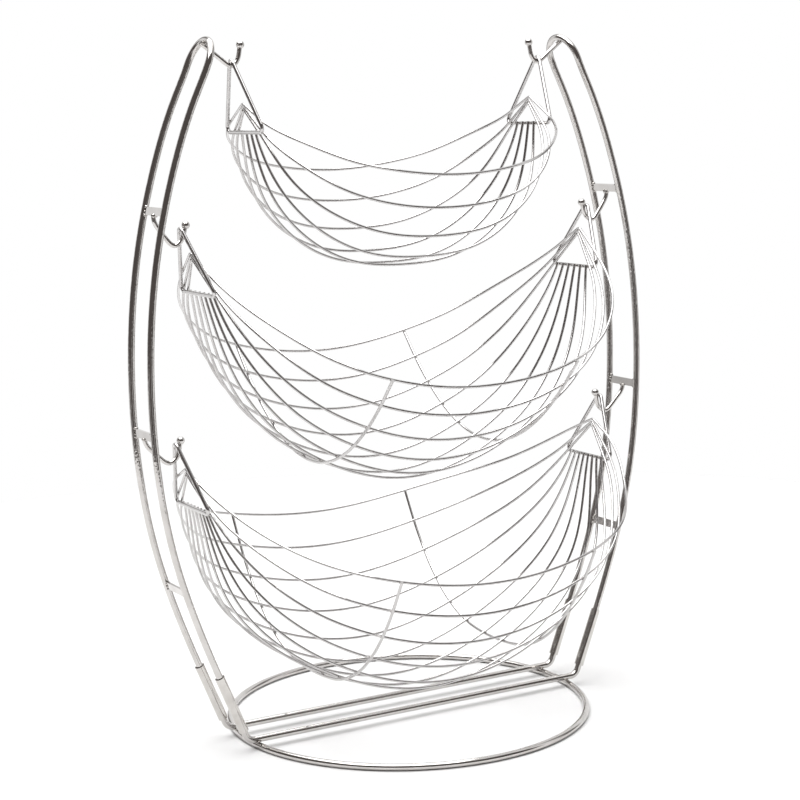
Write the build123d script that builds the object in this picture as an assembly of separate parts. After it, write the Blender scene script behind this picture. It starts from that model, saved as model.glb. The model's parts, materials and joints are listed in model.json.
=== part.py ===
from build123d import *
import os
from math import atan, cos, hypot, radians, sin, sqrt, tan

os.makedirs("parts", exist_ok=True)

# Millimetres. +Z is up, X runs across the two uprights, Y from front to back.
# The origin is on the floor in the middle of the base ring.
stand_height = 610.0          # floor to the top of the uprights
stand_half_width = 245.5      # centre to the widest point of an upright's rod
basket_half_depth = 171.0     # centre to the rim of the bottom basket
leg_spacing = 43.0            # between the two legs of one upright

rod_dia = 6.0                 # ring, rails and uprights
socket_clearance = 0.5        # socket bore over the rod inside it
socket_wall = 1.05
socket_length = 55.0
strip_height = 7.0            # cross bars are flat strip
strip_thickness = 2.0
hook_dia = 4.0
hook_overrun = 2.5            # top hook left past the middle of its weld
hook_straight = 5.0           # top hook's straight stretch after that weld
ball_dia = 7.0
ball_bore_depth = 2.8
hanger_dia = 3.4              # triangular loops that hang on the hooks
wire_dia = 2.4                # long wires of the baskets
rib_dia = 2.6                 # cross wires of the baskets

hang_clearance = 0.5          # between a hanger and the hook inside its bend
weld_sink = 0.04              # depth one welded wire beds into the next
weld_overrun = 1.6            # wire left past the middle of a weld
fan_share = 0.6               # how much of a wire's spread its welded end already shows
plug_depth = 24.0             # rod inside a socket, from either end
rail_bend_radius = 9.0
gable_bend_radius = 4.6       # bend at the peak of each closed loop

# The tables below are drawn for a stand of these sizes and scaled to the sizes above.
drawn_height = 610.0
drawn_half_width = 245.5
drawn_half_depth = 171.0
tall = stand_height / drawn_height
wide = stand_half_width / drawn_half_width
deep = basket_half_depth / drawn_half_depth

ring_centre_dia = 326.0 * wide
socket_bore_dia = rod_dia + socket_clearance
socket_outer_dia = socket_bore_dia + 2 * socket_wall
rail_corner_half = 171.5 * wide           # where the line of a rail meets the socket line
socket_lean = atan(0.4 * wide / tall)     # from upright
socket_bottom_z = 18.5
top_half = 175.0 * wide                   # centre to the peak of an upright's bend
top_lean = radians(22.0)
top_hook_fall = atan(0.76)                # below level, where the top hook leaves its weld

# Half width and height down one upright, above its socket.
bow = [
    (211.0, 110.0), (232.0, 180.0), (244.0, 260.0), (245.5, 340.0),
    (237.4, 420.0), (218.2, 500.0), (195.6, 560.0),
]

strip_heights = {"upper": 467.8, "middle": 282.5, "lower": 147.0}

# Each hook in the middle plane, from below its weld to the ball: half width and height.
hooks = {
    "top": [(158.4, 588.2), (152.2, 585.4), (147.4, 589.4), (144.0, 602.0)],
    "middle": [(223.4, 452.0), (217.2, 443.6), (210.8, 438.8), (204.6, 442.6), (200.2, 454.6)],
    "bottom": [(239.0, 268.2), (231.2, 260.4), (224.4, 256.4), (217.6, 259.8), (213.2, 273.8)],
}

# For each basket: the centre of the hanger's top bend, the bar of the hanger, the
# peak and the hanger crossing of the three closed loops, the sections through the
# basket (half length, half width of the rim, height of the rim, height of the keel),
# how full the sections are, and where the inner wires end along the bar.
baskets = {
    "top": {
        "pivot": (152.2, 585.4), "bar": (142.0, 37.0, 530.0), "peak": 554.0,
        "crossings": [(29.5, 540.0), (28.5, 530.0), (20.5, 530.0)],
        "sections": [(122.0, 74.0, 520.0, 472.0), (92.0, 98.0, 505.0, 437.0),
                     (54.0, 111.0, 496.0, 417.0), (0.0, 115.0, 491.5, 410.5)],
        "fullness": 2.5, "wire_ends": [13.5, 4.5], "rib_section": None,
    },
    "middle": {
        "pivot": (204.1, 448.3), "bar": (190.8, 37.0, 397.0), "peak": 432.0,
        "crossings": [(24.0, 417.0), (33.0, 402.0), (29.5, 397.0)],
        "sections": [(164.0, 98.0, 372.5, 322.0), (128.0, 131.0, 346.5, 272.5),
                     (90.0, 147.0, 331.5, 245.5), (0.0, 151.0, 318.5, 219.5)],
        "fullness": 2.0, "wire_ends": [23.3, 14.0, 4.7], "rib_section": 2,
    },
    "bottom": {
        "pivot": (216.9, 267.4), "bar": (204.5, 37.0, 215.0), "peak": 249.5,
        "crossings": [(20.0, 241.0), (31.0, 224.0), (31.0, 215.0)],
        "sections": [(179.0, 93.0, 203.0, 130.0), (137.0, 143.0, 180.0, 82.0),
                     (95.0, 162.0, 168.0, 55.5), (0.0, 171.0, 156.5, 30.5)],
        "fullness": 2.6, "wire_ends": [24.5, 17.5, 10.5, 3.5], "rib_section": 2,
    },
}
peak_steps = [0.0, 2.3, 4.8]              # drop of each loop's peak below the rim's
section_steps = 200                       # divisions used to measure along a section
loop_names = ["rim", "second", "third"]

leg_half = leg_spacing / 2
ring_z = rod_dia / 2
rail_z = ring_z + rod_dia - weld_sink
sides = {"left": -1, "right": 1}
legs = {"front": -leg_half, "rear": leg_half}


def rod(edges, dia):
    path = Wire(edges)
    start = Plane(origin=path.position_at(0), z_dir=path.tangent_at(0))
    return sweep(start * Circle(dia / 2), path=path)


def save(shape, name):
    shape.label = name
    export_step(shape, f"parts/{name}.step")


def unit(vector):
    size = sqrt(sum(v * v for v in vector))
    return tuple(v / size for v in vector)


def toward(a, b):
    return unit(tuple(q - p for p, q in zip(a, b)))


def mirrored(point):
    return (-point[0], point[1], point[2])


def flipped(point):
    return (point[0], -point[1], point[2])


def socket_point(z):
    return rail_corner_half + (z - rail_z) * tan(socket_lean), z


def base_ring():
    edge = CenterArc((0, 0, ring_z), ring_centre_dia / 2, 0, 360)
    return rod([edge], rod_dia)


def base_rail(y):
    tip_z = socket_bottom_z + plug_depth * cos(socket_lean)
    tip_x = socket_point(tip_z)[0]
    half = [(rail_corner_half, y, rail_z), (tip_x, y, tip_z)]
    points = [mirrored(p) for p in reversed(half)] + half
    return rod(FilletPolyline(*points, radius=rail_bend_radius).edges(), rod_dia)


def socket(side, y):
    x, z = socket_point(socket_bottom_z)
    low = Plane(origin=(side * x, y, z), z_dir=(side * sin(socket_lean), 0, cos(socket_lean)))
    return extrude(low * (Circle(socket_outer_dia / 2) - Circle(socket_bore_dia / 2)), socket_length)


socket_top_z = socket_bottom_z + socket_length * cos(socket_lean)
leg_end_x = top_half + leg_half * sin(top_lean)
leg_end_z = stand_height - rod_dia / 2 - leg_half * cos(top_lean)


def leg_curve(side, y):
    start_x, start_z = socket_point(socket_top_z)
    points = [(side * start_x, y, start_z)]
    points += [(side * x * wide, y, z * tall) for x, z in bow]
    points += [(side * leg_end_x, y, leg_end_z)]
    leave = (side * sin(socket_lean), 0, cos(socket_lean))
    arrive = (-side * sin(top_lean), 0, cos(top_lean))
    return Spline(*points, tangents=(leave, arrive))


def upright(side):
    tip_z = socket_top_z - plug_depth * cos(socket_lean)
    tip_x = socket_point(tip_z)[0]
    start_x, start_z = socket_point(socket_top_z)
    edges = []
    for y in legs.values():
        edges.append(Line((side * tip_x, y, tip_z), (side * start_x, y, start_z)))
        edges.append(leg_curve(side, y))
    ends = [(side * leg_end_x, y, leg_end_z) for y in legs.values()]
    peak = (side * top_half, 0, stand_height - rod_dia / 2)
    edges.append(ThreePointArc(ends[0], peak, ends[1]))
    return rod(edges, rod_dia)


def bow_at(z):
    """Point of the right upright's middle plane at a height, and its upward direction."""
    curve = leg_curve(1, 0)
    low, high = 0.0, 1.0
    for _ in range(40):
        middle = (low + high) / 2
        if curve.position_at(middle).Z < z:
            low = middle
        else:
            high = middle
    return curve.position_at(low), curve.tangent_at(low)


def cross_bar(side, z):
    point, up = bow_at(z * tall)
    length = leg_spacing - rod_dia + 2 * weld_sink
    plane = Plane(origin=(side * point.X, 0, point.Z), x_dir=(0, 1, 0), z_dir=(-side * up.Z, 0, up.X))
    return extrude(plane * Rectangle(length, strip_height), strip_thickness / 2, both=True)


def hook_line(tier):
    """Points of the right hook in X and Z from its weld to the ball, and its first direction."""
    points = [(x * wide, z * tall) for x, z in hooks[tier]]
    if tier == "top":
        peak_x, peak_z = top_half, stand_height - rod_dia / 2
        down = (-cos(top_hook_fall), -sin(top_hook_fall))
        reach = (rod_dia + hook_dia) / 2 - weld_sink
        weld = (peak_x - down[1] * reach, peak_z + down[0] * reach)
        start = (weld[0] - down[0] * hook_overrun, weld[1] - down[1] * hook_overrun)
        straight = (weld[0] + down[0] * hook_straight, weld[1] + down[1] * hook_straight)
        return [start, straight] + points, down
    height = strip_heights["upper" if tier == "middle" else "middle"] * tall
    point, up = bow_at(height)
    drop = strip_height / 2 - weld_sink
    return [(point.X - up.X * drop, point.Z - up.Z * drop)] + points, (-up.X, -up.Z)


def hook_curve(side, tier):
    line, leave = hook_line(tier)
    arrive = toward(line[-2], line[-1])
    points = [(side * x, 0, z) for x, z in line]
    return Spline(*points, tangents=((side * leave[0], 0, leave[1]), (side * arrive[0], 0, arrive[1])))


def hook(side, tier):
    return rod([hook_curve(side, tier)], hook_dia)


def hook_ball(side, tier):
    curve = hook_curve(side, tier)
    end, along = curve.position_at(1), curve.tangent_at(1)
    centre = end + along * (ball_dia / 2 - ball_bore_depth + weld_sink)
    bore = Plane(origin=end - along * ball_dia, z_dir=along) * Cylinder(
        hook_dia / 2 + weld_sink, ball_dia + weld_sink, align=(Align.CENTER, Align.CENTER, Align.MIN))
    return Pos(centre.X, centre.Y, centre.Z) * Sphere(ball_dia / 2) - bore


bend_radius = (hook_dia + hanger_dia) / 2 + hang_clearance


def hanger_plane(tier):
    """Origin at the middle of the bar and the direction up the hanger, in X and Z."""
    basket = baskets[tier]
    bar_x, _, bar_z = basket["bar"]
    pivot_x, pivot_z = basket["pivot"]
    origin = (bar_x * wide, bar_z * tall)
    return origin, toward(origin, (pivot_x * wide, pivot_z * tall))


def hanger_peak(tier):
    """Height of the sharp corner above the bar whose fillet is centred on the pivot."""
    basket = baskets[tier]
    origin, _ = hanger_plane(tier)
    rise = hypot(basket["pivot"][0] * wide - origin[0], basket["pivot"][1] * tall - origin[1])
    half_bar = basket["bar"][1] * deep
    peak = rise
    for _ in range(30):
        peak = rise + bend_radius * hypot(peak, half_bar) / half_bar
    return peak


def hanger(side, tier):
    (bar_x, bar_z), up = hanger_plane(tier)
    plane = Plane(origin=(side * bar_x, 0, bar_z), x_dir=(0, 1, 0), z_dir=(up[1], 0, -side * up[0]))
    half_bar = baskets[tier]["bar"][1] * deep
    corners = [(half_bar, 0), (0, hanger_peak(tier)), (-half_bar, 0)]
    loop = FilletPolyline(*corners, radius=bend_radius, close=True)
    return rod((plane * loop).edges(), hanger_dia)


def on_hanger(tier, y, z):
    """Centre of a wire welded to the inside of the hanger, on the right."""
    (bar_x, bar_z), up = hanger_plane(tier)
    gap = (hanger_dia + wire_dia) / 2 - weld_sink
    x = bar_x + (z - bar_z) * up[0] / up[1] - gap / up[1]
    return (x, y, z)


def section_points(section, fullness, count):
    """Evenly spaced wire centres down half of one section, rim first."""
    _, half_width, rim_z, keel_z = section
    steps = section_steps
    ys = [half_width * deep * i / steps for i in range(steps + 1)]
    zs = [(keel_z + (rim_z - keel_z) * (i / steps) ** fullness) * tall for i in range(steps + 1)]
    lengths = [0.0]
    for i in range(steps):
        lengths.append(lengths[-1] + hypot(ys[i + 1] - ys[i], zs[i + 1] - zs[i]))
    pitch = 2 * lengths[-1] / (count - 1)
    points = []
    for wire in range(count // 2):
        goal = lengths[-1] - wire * pitch
        i = min(k for k in range(steps) if lengths[k + 1] >= goal - 1e-9)
        share = (goal - lengths[i]) / (lengths[i + 1] - lengths[i])
        points.append((ys[i] + (ys[i + 1] - ys[i]) * share, zs[i] + (zs[i + 1] - zs[i]) * share))
    return points


def wire_count(tier):
    return 2 * (len(loop_names) + len(baskets[tier]["wire_ends"]))


def quarter(tier, number):
    """Points of one long wire from near the hanger to the middle, back right quarter."""
    basket = baskets[tier]
    points = []
    for section in basket["sections"]:
        y, z = section_points(section, basket["fullness"], wire_count(tier))[number]
        points.append((section[0] * wide, y, z))
    return points


def whole(points):
    return points + [mirrored(p) for p in points[-2::-1]]


def sprung(points, leave, arrive):
    """A wire's smooth line through points, with both of its end directions kept at full strength."""
    return Spline(*points, tangents=(leave, arrive), tangent_scalars=(1, 1))


def loop_wire(tier, number):
    basket = baskets[tier]
    cross_y, cross_z = basket["crossings"][number]
    peak = on_hanger(tier, 0, basket["peak"] * tall - peak_steps[number])
    cross = on_hanger(tier, cross_y * deep, cross_z * tall)
    down = toward(peak, cross)
    half = hypot(down[0], down[2])
    bend_start = gable_bend_radius * half / abs(down[1])
    drop = gable_bend_radius * (1 / abs(down[1]) - 1)
    near = tuple(p + d * bend_start for p, d in zip(peak, down))
    crown = tuple(p + d / half * drop for p, d in zip(peak, (down[0], 0, down[2])))
    back = whole([cross] + quarter(tier, number))
    up = tuple(-d for d in down)
    gable = [
        Line(flipped(back[0]), flipped(near)),
        ThreePointArc(flipped(near), crown, near),
        Line(near, back[0]),
    ]
    right = rod(gable, wire_dia)
    rear = rod([sprung(back, down, mirrored(up))], wire_dia)
    return right + rear + mirror(right, about=Plane.YZ) + mirror(rear, about=Plane.XZ)


def inner_wire(tier, number, flip):
    basket = baskets[tier]
    end_y = basket["wire_ends"][number] * deep
    bar_z = basket["bar"][2] * tall
    side_points = quarter(tier, number + len(loop_names))
    first = side_points[0]
    fan = (first[1] - end_y) / (bar_z - first[2]) * fan_share
    top = on_hanger(tier, end_y - fan * weld_overrun, bar_z + weld_overrun)
    low = on_hanger(tier, end_y + fan * weld_overrun, bar_z - weld_overrun)
    points = whole([low] + side_points)
    if flip:
        points = [flipped(p) for p in points]
        top = flipped(top)
    leave = toward(top, points[0])
    arrive = toward(points[-1], mirrored(top))
    curve = sprung(points, leave, arrive)
    return rod([Line(top, points[0]), curve, Line(points[-1], mirrored(top))], wire_dia)


def rib(side, tier):
    basket = baskets[tier]
    index = basket["rib_section"]
    x = basket["sections"][index][0] * wide
    section = section_points(basket["sections"][index], basket["fullness"], wire_count(tier))
    half = []
    for number, (y, z) in enumerate(section):
        before = section[max(number - 1, 0)]
        after = section[number + 1] if number + 1 < len(section) else (-y, z)
        inward = toward(before, after)
        outward = (-inward[1], inward[0])
        wire = quarter(tier, number)
        run = toward(wire[index - 1], wire[index + 1])
        tilt = run[1] * outward[0] + run[2] * outward[1]
        reach = ((wire_dia + rib_dia) / 2 - weld_sink) * hypot(tilt, run[0]) / abs(run[0])
        half.append((side * x, y + outward[0] * reach, z + outward[1] * reach))
    up = toward(half[1], half[0])
    half.insert(0, tuple(p + u * weld_overrun for p, u in zip(half[0], up)))
    return rod([Spline(*(half + [flipped(p) for p in reversed(half)]))], rib_dia)


save(base_ring(), "base_ring")
for place, y in legs.items():
    save(base_rail(y), f"{place}_base_rail")

for name, side in sides.items():
    save(upright(side), f"{name}_upright")
    for place, y in legs.items():
        save(socket(side, y), f"{name}_{place}_socket")
    for level, z in strip_heights.items():
        save(cross_bar(side, z), f"{name}_{level}_cross_bar")
    for tier in hooks:
        save(hook(side, tier), f"{name}_{tier}_hook")

save(Compound([hook_ball(side, tier) for side in sides.values() for tier in hooks]), "hook_ball_tips")

for tier, basket in baskets.items():
    for name, side in sides.items():
        save(hanger(side, tier), f"{tier}_basket_{name}_hanger")
        if basket["rib_section"] is not None:
            save(rib(side, tier), f"{tier}_basket_{name}_rib")
    for number, name in enumerate(loop_names):
        save(loop_wire(tier, number), f"{tier}_basket_{name}_loop")
    for number in range(len(basket["wire_ends"])):
        save(inner_wire(tier, number, True), f"{tier}_basket_front_wire_{number + 1}")
        save(inner_wire(tier, number, False), f"{tier}_basket_rear_wire_{number + 1}")
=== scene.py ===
import bpy
import bmesh
import json
import math
import random
from mathutils import Matrix, Vector
from mathutils.bvhtree import BVHTree

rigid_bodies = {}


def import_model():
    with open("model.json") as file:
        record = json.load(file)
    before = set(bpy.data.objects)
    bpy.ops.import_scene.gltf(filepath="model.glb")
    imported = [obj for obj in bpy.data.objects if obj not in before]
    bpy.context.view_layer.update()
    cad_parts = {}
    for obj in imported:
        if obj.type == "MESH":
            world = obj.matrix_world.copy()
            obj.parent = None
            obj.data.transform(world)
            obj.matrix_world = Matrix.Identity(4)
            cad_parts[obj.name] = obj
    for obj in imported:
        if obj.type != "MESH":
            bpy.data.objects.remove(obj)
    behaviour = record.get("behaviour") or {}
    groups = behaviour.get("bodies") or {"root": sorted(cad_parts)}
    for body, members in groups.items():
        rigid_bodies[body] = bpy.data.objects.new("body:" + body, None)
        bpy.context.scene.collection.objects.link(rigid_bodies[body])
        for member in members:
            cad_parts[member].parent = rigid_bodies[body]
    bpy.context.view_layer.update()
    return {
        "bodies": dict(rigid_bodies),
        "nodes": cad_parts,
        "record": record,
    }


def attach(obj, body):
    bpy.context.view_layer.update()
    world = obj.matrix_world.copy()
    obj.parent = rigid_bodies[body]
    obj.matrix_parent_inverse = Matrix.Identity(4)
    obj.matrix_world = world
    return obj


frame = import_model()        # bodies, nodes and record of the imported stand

scene = bpy.context.scene
mm = 0.001
random.seed(41)


# small helpers
def linkNode(tree, kind, place, **values):
    node = tree.nodes.new(kind)
    node.location = place
    for key, value in values.items():
        setattr(node, key, value)
    return node


def setInputs(node, **values):
    for key, value in values.items():
        node.inputs[key.replace("_", " ")].default_value = value


# chrome plate that has been handled: faint clouding, fine grain and dust specks
plateTexture = {
    "cloudDetail": 4.0,
    "cloudRoughness": 0.6,
    "cloudRange": (0.35, 0.68),       # noise levels from clean to fully clouded
    "grainDetail": 3.0,
    "grainRoughness": 0.55,
    "grainHeight": 0.04 * mm,
    "speckReach": 0.16,               # radius of a dust speck, as a share of its cell
    "speckDust": 0.55,                # how hazy the middle of a speck is
}


def makePlateGroup():
    tree = bpy.data.node_groups.new("handledPlate", "ShaderNodeTree")
    face = tree.interface
    for name, kind, value in (
        ("Bright", "NodeSocketColor", (0.86, 0.85, 0.84, 1.0)),
        ("Shade", "NodeSocketColor", (0.70, 0.68, 0.66, 1.0)),
        ("Polish", "NodeSocketFloat", 0.05),
        ("Haze", "NodeSocketFloat", 0.16),
        ("Cloud Size", "NodeSocketFloat", 60.0),
        ("Grain Size", "NodeSocketFloat", 1400.0),
        ("Grain Depth", "NodeSocketFloat", 0.05),
    ):
        socket = face.new_socket(name=name, in_out="INPUT", socket_type=kind)
        socket.default_value = value
    face.new_socket(name="Colour", in_out="OUTPUT", socket_type="NodeSocketColor")
    face.new_socket(name="Roughness", in_out="OUTPUT", socket_type="NodeSocketFloat")
    face.new_socket(name="Normal", in_out="OUTPUT", socket_type="NodeSocketVector")

    inner = linkNode(tree, "NodeGroupInput", (-900, 0))
    outer = linkNode(tree, "NodeGroupOutput", (600, 0))
    where = linkNode(tree, "ShaderNodeTexCoord", (-900, 300))
    cloud = linkNode(tree, "ShaderNodeTexNoise", (-600, 300))
    setInputs(cloud, Detail=plateTexture["cloudDetail"], Roughness=plateTexture["cloudRoughness"])
    grain = linkNode(tree, "ShaderNodeTexNoise", (-600, -100))
    setInputs(grain, Detail=plateTexture["grainDetail"], Roughness=plateTexture["grainRoughness"])
    speck = linkNode(tree, "ShaderNodeTexVoronoi", (-600, 100))
    cloudRamp = linkNode(tree, "ShaderNodeMapRange", (-350, 300))
    clean, clouded = plateTexture["cloudRange"]
    setInputs(cloudRamp, From_Min=clean, From_Max=clouded)
    speckRamp = linkNode(tree, "ShaderNodeMapRange", (-350, 100))
    setInputs(speckRamp, From_Min=0.0, From_Max=plateTexture["speckReach"])
    setInputs(speckRamp, To_Min=plateTexture["speckDust"], To_Max=0.0)
    mixColour = linkNode(tree, "ShaderNodeMix", (100, 300), data_type="RGBA")
    mixRough = linkNode(tree, "ShaderNodeMix", (100, 80), data_type="FLOAT")
    dusty = linkNode(tree, "ShaderNodeMath", (-120, 120), operation="MAXIMUM")
    bump = linkNode(tree, "ShaderNodeBump", (100, -150))
    setInputs(bump, Distance=plateTexture["grainHeight"])

    wire = tree.links.new
    for texture in (cloud, grain, speck):
        wire(where.outputs["Object"], texture.inputs["Vector"])
    wire(inner.outputs["Cloud Size"], cloud.inputs["Scale"])
    wire(inner.outputs["Grain Size"], grain.inputs["Scale"])
    wire(inner.outputs["Grain Size"], speck.inputs["Scale"])
    wire(cloud.outputs["Fac"], cloudRamp.inputs["Value"])
    wire(speck.outputs["Distance"], speckRamp.inputs["Value"])
    wire(cloudRamp.outputs["Result"], dusty.inputs[0])
    wire(speckRamp.outputs["Result"], dusty.inputs[1])
    wire(cloudRamp.outputs["Result"], mixColour.inputs["Factor"])
    wire(inner.outputs["Bright"], mixColour.inputs["A"])
    wire(inner.outputs["Shade"], mixColour.inputs["B"])
    wire(dusty.outputs["Value"], mixRough.inputs["Factor"])
    wire(inner.outputs["Polish"], mixRough.inputs["A"])
    wire(inner.outputs["Haze"], mixRough.inputs["B"])
    wire(grain.outputs["Fac"], bump.inputs["Height"])
    wire(inner.outputs["Grain Depth"], bump.inputs["Strength"])
    wire(mixColour.outputs["Result"], outer.inputs["Colour"])
    wire(mixRough.outputs["Result"], outer.inputs["Roughness"])
    wire(bump.outputs["Normal"], outer.inputs["Normal"])
    return tree


plateGroup = makePlateGroup()

plates = {
    "frameChrome": {"Bright": (0.63, 0.61, 0.595, 1), "Shade": (0.55, 0.53, 0.51, 1), "Polish": 0.045,
                    "Haze": 0.12, "Cloud Size": 55.0, "Grain Size": 1500.0, "Grain Depth": 0.02},
    "socketChrome": {"Bright": (0.65, 0.63, 0.605, 1), "Shade": (0.57, 0.545, 0.52, 1), "Polish": 0.06,
                     "Haze": 0.17, "Cloud Size": 90.0, "Grain Size": 1100.0, "Grain Depth": 0.05},
    "hookChrome": {"Bright": (0.66, 0.645, 0.63, 1), "Shade": (0.55, 0.53, 0.515, 1), "Polish": 0.05,
                   "Haze": 0.14, "Cloud Size": 120.0, "Grain Size": 1600.0, "Grain Depth": 0.025},
    "basketChrome": {"Bright": (0.61, 0.60, 0.595, 1), "Shade": (0.54, 0.525, 0.52, 1), "Polish": 0.05,
                     "Haze": 0.13, "Cloud Size": 75.0, "Grain Size": 1800.0, "Grain Depth": 0.02},
    "weldChrome": {"Bright": (0.58, 0.56, 0.54, 1), "Shade": (0.34, 0.32, 0.30, 1), "Polish": 0.14,
                   "Haze": 0.34, "Cloud Size": 700.0, "Grain Size": 2600.0, "Grain Depth": 0.35},
}


def makePlate(name, values):
    material = bpy.data.materials.new(name)
    material.use_nodes = True
    tree = material.node_tree
    shader = tree.nodes["Principled BSDF"]
    setInputs(shader, Metallic=1.0, IOR=1.5)
    group = linkNode(tree, "ShaderNodeGroup", (-400, 100), node_tree=plateGroup)
    for key, value in values.items():
        group.inputs[key].default_value = value
    tree.links.new(group.outputs["Colour"], shader.inputs["Base Color"])
    tree.links.new(group.outputs["Roughness"], shader.inputs["Roughness"])
    tree.links.new(group.outputs["Normal"], shader.inputs["Normal"])
    return material


plateMaterials = {name: makePlate(name, values) for name, values in plates.items()}
print("chrome plates made:", len(plateMaterials))


def plateFor(node):
    if "basket" in node:
        return "basketChrome"
    if "socket" in node:
        return "socketChrome"
    if "hook" in node:
        return "hookChrome"
    return "frameChrome"


for name, piece in frame["nodes"].items():
    piece.data.materials.clear()
    piece.data.materials.append(plateMaterials[plateFor(name)])
print("plated pieces:", len(frame["nodes"]))


# weld spots
weld = {
    "reach": 0.35 * mm,       # surfaces closer than this are welded
    "spread": 2.2 * mm,       # two spots nearer than this are one
    "basketSize": 1.25 * mm,
    "frameSize": 2.1 * mm,
    "flatness": 0.62,
    "roughness": 0.16,        # lumpiness of a nugget
    "lumpWaves": (3.1, 3.7, 4.3),
    "lumpPhases": 4,          # one more than the waves
    "phaseRange": 6.28,
    "sameFaces": 0.4 * mm,    # faces nearer than this to a found spot are passed over
    "settlings": 24,          # steps from one surface to the other to find the closest points
}


def grownTree(mesh, growth):
    points = [v.co + v.normal * growth for v in mesh.vertices]
    return BVHTree.FromPolygons(points, [tuple(p.vertices) for p in mesh.polygons])


def meetingSpots(meshA, treeA, treeB, grownA, grownB):
    spots = []
    for faceA, _ in grownA.overlap(grownB):
        point = meshA.polygons[faceA].center.copy()
        if any((point - seen[2]).length < weld["sameFaces"] for seen in spots):
            continue
        onA = onB = point
        for _ in range(weld["settlings"]):
            onB = treeB.find_nearest(onA)[0]
            onA = treeA.find_nearest(onB)[0]
        gap = (onA - onB).length
        middle = (onA + onB) / 2
        if gap > weld["reach"]:
            continue
        if all((middle - seen[0]).length > weld["spread"] for seen in spots):
            normal = treeA.find_nearest(middle)[1]
            spots.append((middle, normal, point))
    return [(middle, normal) for middle, normal, _ in spots]


def addNugget(mesh, centre, normal, size):
    turn = normal.to_track_quat("Z", "Y").to_matrix().to_4x4()
    made = bmesh.ops.create_icosphere(mesh, subdivisions=2, radius=1.0)["verts"]
    phases = [random.uniform(0, weld["phaseRange"]) for _ in range(weld["lumpPhases"])]
    for vert in made:
        x, y, z = vert.co
        parts = zip(weld["lumpWaves"], (x, y, z), phases)
        lumps = [math.sin(wave * part + phase) for wave, part, phase in parts]
        swell = 1 + weld["roughness"] * sum(lumps) / len(lumps)
        vert.co = Vector((x * swell, y * swell, z * swell * weld["flatness"])) * size
    bmesh.ops.transform(mesh, matrix=Matrix.Translation(centre) @ turn, verts=made)


def makeWelds(body):
    nodes = [n for n in frame["record"]["behaviour"]["bodies"][body] if "ball" not in n and "socket" not in n]
    size = weld["frameSize" if body == "stand" else "basketSize"]
    meshes = {n: frame["nodes"][n].data for n in nodes}
    trees = {n: grownTree(m, 0.0) for n, m in meshes.items()}
    grown = {n: grownTree(m, weld["reach"]) for n, m in meshes.items()}
    nuggets = bmesh.new()
    count = 0
    for i, a in enumerate(nodes):
        for b in nodes[i + 1:]:
            for centre, normal in meetingSpots(meshes[a], trees[a], trees[b], grown[a], grown[b]):
                addNugget(nuggets, centre, normal, size)
                count += 1
    data = bpy.data.meshes.new(body + "Welds")
    nuggets.to_mesh(data)
    nuggets.free()
    for polygon in data.polygons:
        polygon.use_smooth = True
    piece = bpy.data.objects.new(body + "_welds", data)
    scene.collection.objects.link(piece)
    data.materials.append(plateMaterials["weldChrome"])
    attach(piece, body)
    print("welds on", body + ":", count)


for bodyName in frame["bodies"]:
    makeWelds(bodyName)


# floor, surroundings and lamps
studio = {
    "floorRadius": 1.15,
    "floorSides": 96,
    "floorRoughness": 0.95,
    "floorColour": (0.77, 0.77, 0.77, 1),
    "white": (1.0, 1.0, 1.0, 1),
    "roomDark": (0.115, 0.102, 0.097, 1),
    "darkAzimuth": math.radians(-44),     # the unlit side of the room, where the viewer stands
    "softboxPower": 72,
    "softboxSize": (2.6, 2.4),
    "softboxPlace": (-0.3, 0.1, 2.3),
}

# Dark stretches of the room. side: cosine of the angle from darkAzimuth, as a share;
# height: from straight down to straight up, as a share.
darkStretches = [
    {"side": [(0.0, 0.0), (0.07, 0.0), (0.11, 0.8), (0.2, 0.8), (0.26, 0.0),
              (0.56, 0.0), (0.66, 1.0), (0.86, 1.0), (0.89, 0.6), (0.93, 0.6), (0.96, 1.0), (1.0, 1.0)],
     "height": [(0.0, 1.0), (0.82, 1.0), (0.9, 0.0), (1.0, 0.0)]},
    {"side": [(0.0, 0.0), (0.36, 0.0), (0.44, 1.0), (1.0, 1.0)],
     "height": [(0.0, 0.0), (0.43, 0.0), (0.47, 1.0), (0.84, 1.0), (0.92, 0.0), (1.0, 0.0)]},
]


def fillRamp(node, stops):
    ramp = node.color_ramp
    while len(ramp.elements) > 1:
        ramp.elements.remove(ramp.elements[-1])
    ramp.elements[0].position = stops[0][0]
    ramp.elements[0].color = (stops[0][1],) * 3 + (1,)
    for place, level in stops[1:]:
        stop = ramp.elements.new(place)
        stop.color = (level,) * 3 + (1,)


def makeFloor():
    mesh = bpy.data.meshes.new("floorSheet")
    disc = bmesh.new()
    bmesh.ops.create_circle(disc, cap_ends=True, segments=studio["floorSides"], radius=studio["floorRadius"])
    disc.to_mesh(mesh)
    disc.free()
    floor = bpy.data.objects.new("floorSheet", mesh)
    scene.collection.objects.link(floor)
    material = bpy.data.materials.new("paleFloor")
    material.use_nodes = True
    shader = material.node_tree.nodes["Principled BSDF"]
    setInputs(shader, Base_Color=studio["floorColour"], Roughness=studio["floorRoughness"])
    mesh.materials.append(material)


def makeDarkPatch(tree, stretch, side, height):
    sideRamp = linkNode(tree, "ShaderNodeValToRGB", (-100, 100))
    heightRamp = linkNode(tree, "ShaderNodeValToRGB", (-100, -200))
    fillRamp(sideRamp, stretch["side"])
    fillRamp(heightRamp, stretch["height"])
    both = linkNode(tree, "ShaderNodeMath", (200, 0), operation="MULTIPLY")
    tree.links.new(side, sideRamp.inputs["Fac"])
    tree.links.new(height, heightRamp.inputs["Fac"])
    tree.links.new(sideRamp.outputs["Color"], both.inputs[0])
    tree.links.new(heightRamp.outputs["Color"], both.inputs[1])
    return both.outputs["Value"]


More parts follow.
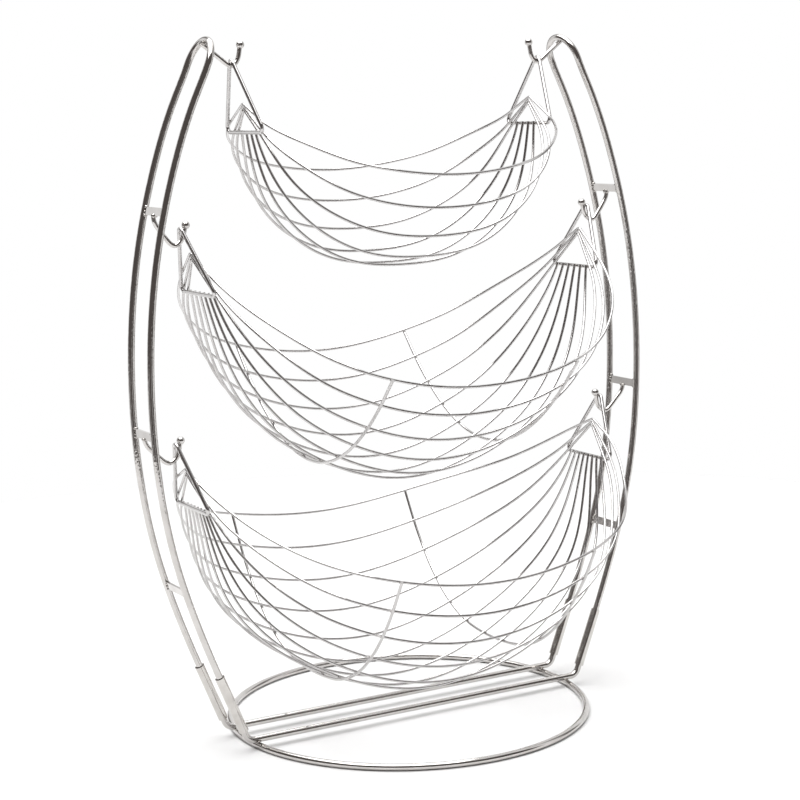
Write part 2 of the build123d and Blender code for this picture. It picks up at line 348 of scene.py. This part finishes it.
def makeWorld():
    world = bpy.data.worlds.new("softStudio")
    scene.world = world
    world.use_nodes = True
    tree = world.node_tree
    tree.nodes.clear()
    out = linkNode(tree, "ShaderNodeOutputWorld", (1200, 0))
    backdrop = linkNode(tree, "ShaderNodeBackground", (700, 200))
    setInputs(backdrop, Color=studio["white"], Strength=1.0)
    room = linkNode(tree, "ShaderNodeBackground", (700, 0))
    setInputs(room, Strength=1.0)
    chooser = linkNode(tree, "ShaderNodeMixShader", (950, 0))
    path = linkNode(tree, "ShaderNodeLightPath", (700, 500))
    where = linkNode(tree, "ShaderNodeTexCoord", (-1100, 0))
    split = linkNode(tree, "ShaderNodeSeparateXYZ", (-900, -200))
    level = linkNode(tree, "ShaderNodeVectorMath", (-900, 100), operation="MULTIPLY")
    level.inputs[1].default_value = (1, 1, 0)
    bearing = linkNode(tree, "ShaderNodeVectorMath", (-700, 100), operation="NORMALIZE")
    toDark = linkNode(tree, "ShaderNodeVectorMath", (-500, 100), operation="DOT_PRODUCT")
    azimuth = studio["darkAzimuth"]
    toDark.inputs[1].default_value = (math.sin(azimuth), -math.cos(azimuth), 0)
    sideShare = linkNode(tree, "ShaderNodeMapRange", (-300, 100))
    setInputs(sideShare, From_Min=-1.0, From_Max=1.0)
    heightShare = linkNode(tree, "ShaderNodeMapRange", (-300, -200))
    setInputs(heightShare, From_Min=-1.0, From_Max=1.0)
    shade = linkNode(tree, "ShaderNodeMix", (450, 0), data_type="RGBA")
    setInputs(shade, A=studio["white"], B=studio["roomDark"])
    wire = tree.links.new
    wire(where.outputs["Generated"], split.inputs["Vector"])
    wire(where.outputs["Generated"], level.inputs[0])
    wire(level.outputs["Vector"], bearing.inputs[0])
    wire(bearing.outputs["Vector"], toDark.inputs[0])
    wire(toDark.outputs["Value"], sideShare.inputs["Value"])
    wire(split.outputs["Z"], heightShare.inputs["Value"])
    darker = linkNode(tree, "ShaderNodeMath", (320, 0), operation="MAXIMUM")
    for place, stretch in enumerate(darkStretches):
        darkPatch = makeDarkPatch(tree, stretch, sideShare.outputs["Result"], heightShare.outputs["Result"])
        wire(darkPatch, darker.inputs[place])
    wire(darker.outputs["Value"], shade.inputs["Factor"])
    wire(shade.outputs["Result"], room.inputs["Color"])
    wire(path.outputs["Is Camera Ray"], chooser.inputs["Fac"])
    wire(room.outputs["Background"], chooser.inputs[1])
    wire(backdrop.outputs["Background"], chooser.inputs[2])
    wire(chooser.outputs["Shader"], out.inputs["Surface"])


def softLight(name, place, aim, size, power):
    data = bpy.data.lights.new(name, "AREA")
    data.shape = "RECTANGLE"
    data.size, data.size_y = size
    data.energy = power
    lamp = bpy.data.objects.new(name, data)
    lamp.location = place
    lamp.rotation_euler = (Vector(aim) - Vector(place)).to_track_quat("-Z", "Y").to_euler()
    scene.collection.objects.link(lamp)


makeFloor()
makeWorld()
softLight("overheadSoftbox", studio["softboxPlace"], (0, 0, 0), studio["softboxSize"], studio["softboxPower"])
print("floor, surroundings and lamps set")


# camera
camera = {
    "place": (-0.82896, -1.48036, 0.54925),
    "azimuth": math.radians(-29.25),
    "elevation": math.radians(8.75),
    "roll": math.radians(1.53),
    "lens": 86.16,
    "sensor": 36.0,
    "nearest": 0.01,
}


def makeCamera():
    a, e, r = camera["azimuth"], camera["elevation"], camera["roll"]
    back = Vector((math.sin(a) * math.cos(e), -math.cos(a) * math.cos(e), math.sin(e)))
    right = Vector((math.cos(a), math.sin(a), 0))
    up = back.cross(right)
    rolledRight = right * math.cos(r) - up * math.sin(r)
    rolledUp = right * math.sin(r) + up * math.cos(r)
    data = bpy.data.cameras.new("viewCamera")
    data.lens = camera["lens"]
    data.sensor_width = camera["sensor"]
    data.clip_start = camera["nearest"]
    viewer = bpy.data.objects.new("viewCamera", data)
    turn = Matrix((rolledRight, rolledUp, back)).transposed().to_4x4()
    viewer.matrix_world = Matrix.Translation(camera["place"]) @ turn
    scene.collection.objects.link(viewer)
    scene.camera = viewer


makeCamera()
scene.view_settings.view_transform = "Standard"
print("camera set")
